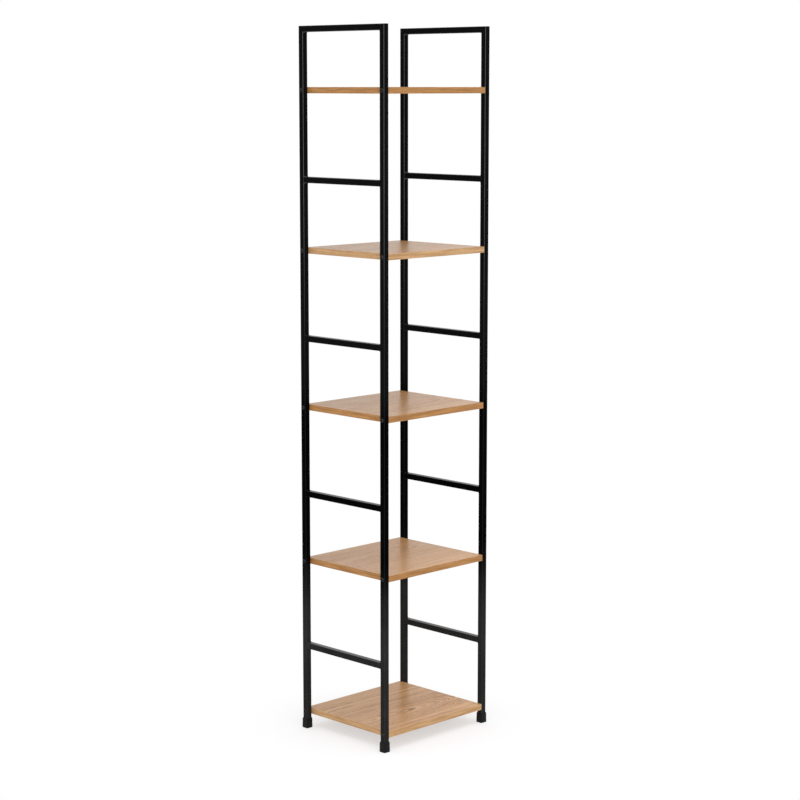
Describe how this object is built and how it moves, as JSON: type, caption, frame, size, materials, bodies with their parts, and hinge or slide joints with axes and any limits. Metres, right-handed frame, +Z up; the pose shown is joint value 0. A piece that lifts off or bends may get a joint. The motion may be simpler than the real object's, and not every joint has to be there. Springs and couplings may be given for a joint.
{
  "type": "shelving unit",
  "caption": "Tall narrow open shelving unit: welded black square-tube ladder frames with oak-look shelves bolted between them, on push-on foot caps.",
  "frame": {"origin": "on the floor at the middle of the footprint, between the four foot caps", "axes": "+Z up; +X to the right seen from the front; the front faces -Y"},
  "size_m": [0.3658, 0.299, 1.75],
  "materials": {
    "frame_coating": "black satin powder coat on steel tube",
    "foot_plastic": "black moulded plastic, fine texture",
    "oak_board": "oak grain, semi-gloss faced particle board, grain along the length",
    "oak_edging": "oak grain edging strip, satin",
    "black_bolt": "blackened steel, satin",
    "zinc_nut": "zinc plated steel"
  },
  "bodies": {
    "root": {"left_front_upright": "frame_coating", "front_left_foot_cap": "foot_plastic", "left_rear_upright": "frame_coating", "rear_left_foot_cap": "foot_plastic", "left_top_rail": "frame_coating", "left_rung_1": "frame_coating", "left_rung_2": "frame_coating", "left_rung_3": "frame_coating", "left_rung_4": "frame_coating", "left_frame_welds": "frame_coating", "right_front_upright": "frame_coating", "front_right_foot_cap": "foot_plastic", "right_rear_upright": "frame_coating", "rear_right_foot_cap": "foot_plastic", "right_top_rail": "frame_coating", "right_rung_1": "frame_coating", "right_rung_2": "frame_coating", "right_rung_3": "frame_coating", "right_rung_4": "frame_coating", "right_frame_welds": "frame_coating", "shelf_1_board": "oak_board", "shelf_1_edging": "oak_edging", "shelf_2_board": "oak_board", "shelf_2_edging": "oak_edging", "shelf_3_board": "oak_board", "shelf_3_edging": "oak_edging", "shelf_4_board": "oak_board", "shelf_4_edging": "oak_edging", "shelf_5_board": "oak_board", "shelf_5_edging": "oak_edging", "shelf_bolts": "black_bolt", "barrel_nuts": "zinc_nut"}
  },
  "joints": []
}
